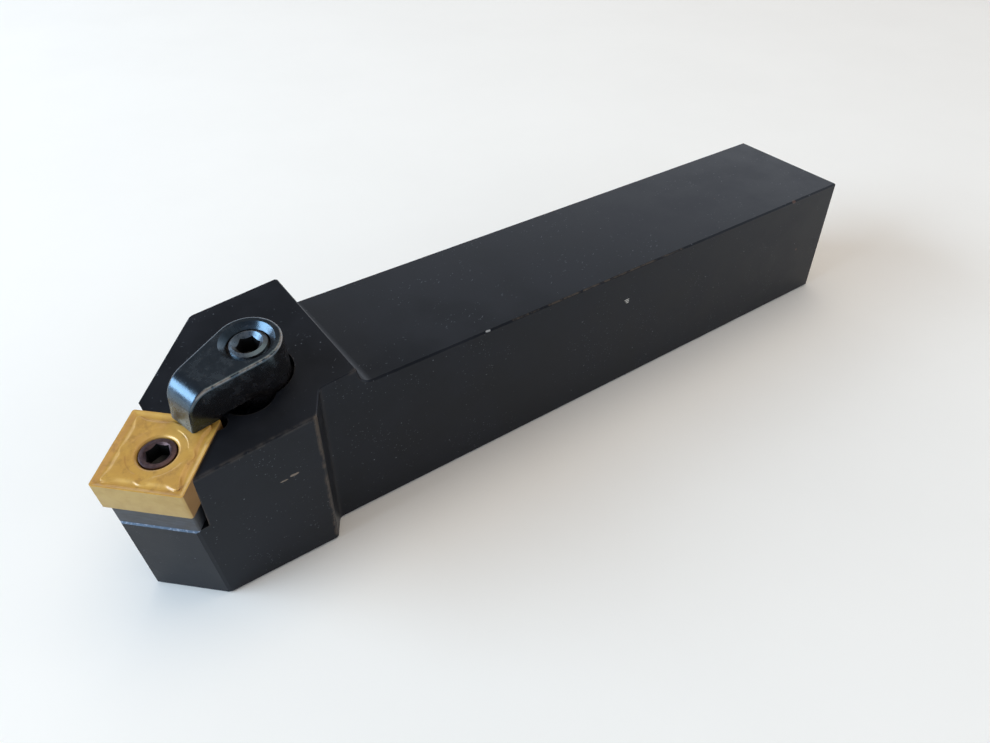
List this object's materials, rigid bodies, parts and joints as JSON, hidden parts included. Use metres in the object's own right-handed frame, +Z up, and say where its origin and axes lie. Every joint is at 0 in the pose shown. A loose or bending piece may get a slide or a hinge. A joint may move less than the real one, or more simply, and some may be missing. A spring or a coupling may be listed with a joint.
{
  "type": "turning tool holder",
  "caption": "External turning tool holder with a square shank, an angled head, an indexable square insert on a shim, a lock pin and a top clamp.",
  "frame": {"origin": "middle line of the shank's base, 55 mm in front of the rear end, where the tool post grips it", "axes": "+X back along the shank (the cutting corner points to -X), -Y the cutting side, +Z up; a corner with the 0.8 mm gauge radius would lead at x = -95 mm, z = 25 mm"},
  "size_m": [0.1502, 0.0312, 0.0347],
  "materials": {
    "black_steel": "black oxide, satin",
    "clamp_steel": "black oxide, half gloss, worn along the edges",
    "screw_steel": "black oxide, worn to grey steel",
    "pin_steel": "brown black oxide",
    "coated_carbide": "gold nitride coating on carbide",
    "bare_carbide": "ground carbide, matt"
  },
  "bodies": {
    "holder": {"holder_body": "black_steel", "shim": "bare_carbide", "insert": "coated_carbide"},
    "clamp": {"clamp": "clamp_steel"},
    "clamp_screw": {"clamp_screw": "screw_steel"},
    "lock_pin": {"lock_pin": "pin_steel"}
  },
  "joints": [
    {"name": "clamp_lift", "type": "slide", "parent": "holder", "child": "clamp", "axis": [-0.0984, -0.0984, 0.9903], "range_m": [0, 0.003]},
    {"name": "clamp_screw_turn", "type": "hinge", "parent": "clamp", "child": "clamp_screw", "pos_m": [-0.06982, -0.00442, 0.02774], "axis": [-0.0984, -0.0984, 0.9903], "range_deg": [0, 540]},
    {"name": "lock_pin_turn", "type": "hinge", "parent": "holder", "child": "lock_pin", "pos_m": [-0.08639, -0.00989, 0.02585], "axis": [-0.0984, -0.0984, 0.9903], "range_deg": [0, 180]}
  ],
  "couplings": [
    {"joint": "clamp_screw_turn", "follows": "clamp_lift", "rad_per_m": 3141.6}
  ]
}
